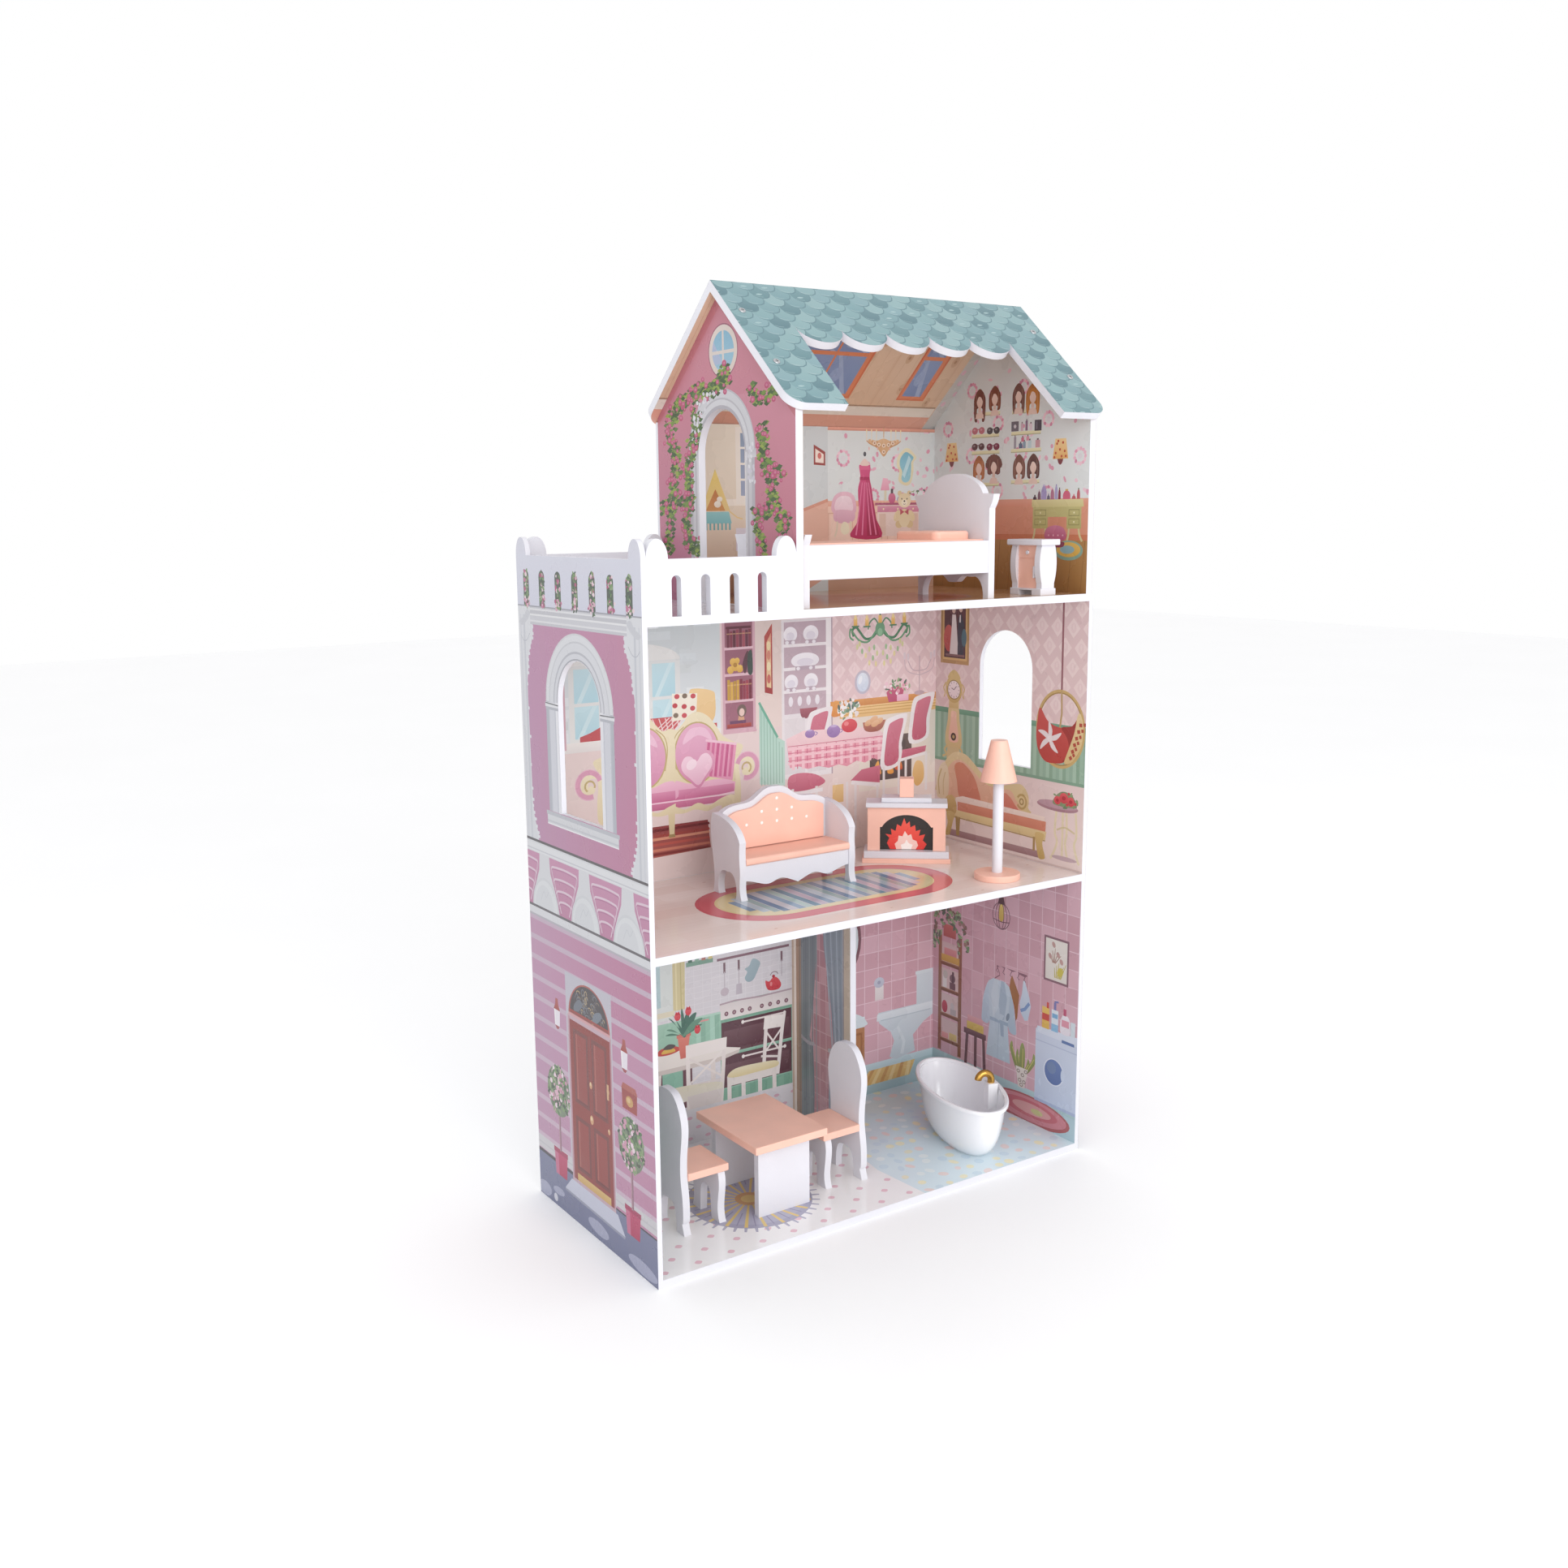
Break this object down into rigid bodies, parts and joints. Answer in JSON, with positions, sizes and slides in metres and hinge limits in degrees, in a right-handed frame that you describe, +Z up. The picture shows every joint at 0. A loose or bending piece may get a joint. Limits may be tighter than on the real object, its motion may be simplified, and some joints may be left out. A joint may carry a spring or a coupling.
{
  "type": "dollhouse",
  "caption": "Open-fronted wooden dollhouse on three floors with a pitched roof, railed terrace, arched windows and loose furniture.",
  "frame": {"origin": "middle of the house body's footprint, on its underside", "axes": "+Z up, open front towards -Y, +X to the right seen from the front"},
  "size_m": [0.628, 0.3042, 1.057],
  "materials": {
    "white_board": "satin",
    "white_paint": "satin",
    "peach_paint": "satin",
    "raw_wood": "matte",
    "zinc_steel": "satin",
    "printed_paper": "matte",
    "white_plastic": "glossy",
    "gold_plastic": "glossy"
  },
  "bodies": {
    "house": {"left_wall": "white_board", "right_wall": "white_board", "ground_floor": "white_board", "middle_floor": "white_board", "upper_deck": "white_board", "upper_left_wall": "white_board", "upper_right_wall": "white_board", "lower_back_panel": "white_board", "upper_back_panel": "white_board", "room_divider": "white_board", "front_railing": "white_board", "back_railing": "white_board", "front_roof": "white_board", "back_roof": "white_board", "dowels": "raw_wood", "roof_screws": "zinc_steel", "back_screws": "zinc_steel"},
    "bed": {"bed_headboard": "white_paint", "bed_footboard": "white_paint", "bed_front_rail": "white_paint", "bed_back_rail": "white_paint", "bed_board": "peach_paint", "bed_pillow": "peach_paint"},
    "nightstand": {"nightstand_top": "white_paint", "nightstand_near_side": "white_paint", "nightstand_far_side": "white_paint", "nightstand_front": "peach_paint", "nightstand_plinth": "white_paint", "nightstand_knobs": "white_paint"},
    "sofa": {"sofa_back": "white_paint", "sofa_back_pad": "peach_paint", "sofa_seat": "peach_paint", "sofa_left_arm": "white_paint", "sofa_right_arm": "white_paint", "sofa_apron": "white_paint"},
    "fireplace": {"fireplace_foot": "peach_paint", "fireplace_base": "white_paint", "fireplace_body": "peach_paint", "fireplace_lining": "printed_paper", "fireplace_mantel": "white_paint", "fireplace_tier": "white_paint", "fireplace_chimney": "peach_paint"},
    "floor_lamp": {"lamp_base": "peach_paint", "lamp_pole": "white_paint", "lamp_shade": "peach_paint"},
    "table": {"table_top": "peach_paint", "table_front_leg": "white_paint", "table_back_leg": "white_paint"},
    "left_chair": {"left_chair_back": "white_paint", "left_chair_seat": "peach_paint", "left_chair_front_legs": "white_paint"},
    "right_chair": {"right_chair_back": "white_paint", "right_chair_seat": "peach_paint", "right_chair_front_legs": "white_paint"},
    "bathtub": {"bathtub_shell": "white_plastic", "bathtub_tap_block": "white_plastic", "bathtub_spout": "gold_plastic"}
  },
  "joints": [
    {"name": "bed_takes_out", "type": "slide", "parent": "house", "child": "bed", "axis": [0, -1, 0], "range_m": [0, 0.35]},
    {"name": "nightstand_takes_out", "type": "slide", "parent": "house", "child": "nightstand", "axis": [0, -1, 0], "range_m": [0, 0.35]},
    {"name": "sofa_takes_out", "type": "slide", "parent": "house", "child": "sofa", "axis": [0, -1, 0], "range_m": [0, 0.35]},
    {"name": "fireplace_takes_out", "type": "slide", "parent": "house", "child": "fireplace", "axis": [-0.5501, -0.8351, 0], "range_m": [0, 0.31]},
    {"name": "floor_lamp_takes_out", "type": "slide", "parent": "house", "child": "floor_lamp", "axis": [0, -1, 0], "range_m": [0, 0.35]},
    {"name": "table_takes_out", "type": "slide", "parent": "house", "child": "table", "axis": [0, -1, 0], "range_m": [0, 0.35]},
    {"name": "left_chair_takes_out", "type": "slide", "parent": "house", "child": "left_chair", "axis": [0, -1, 0], "range_m": [0, 0.35]},
    {"name": "right_chair_takes_out", "type": "slide", "parent": "house", "child": "right_chair", "axis": [0, -1, 0], "range_m": [0, 0.35]},
    {"name": "bathtub_takes_out", "type": "slide", "parent": "house", "child": "bathtub", "axis": [0, -1, 0], "range_m": [0, 0.35]}
  ]
}
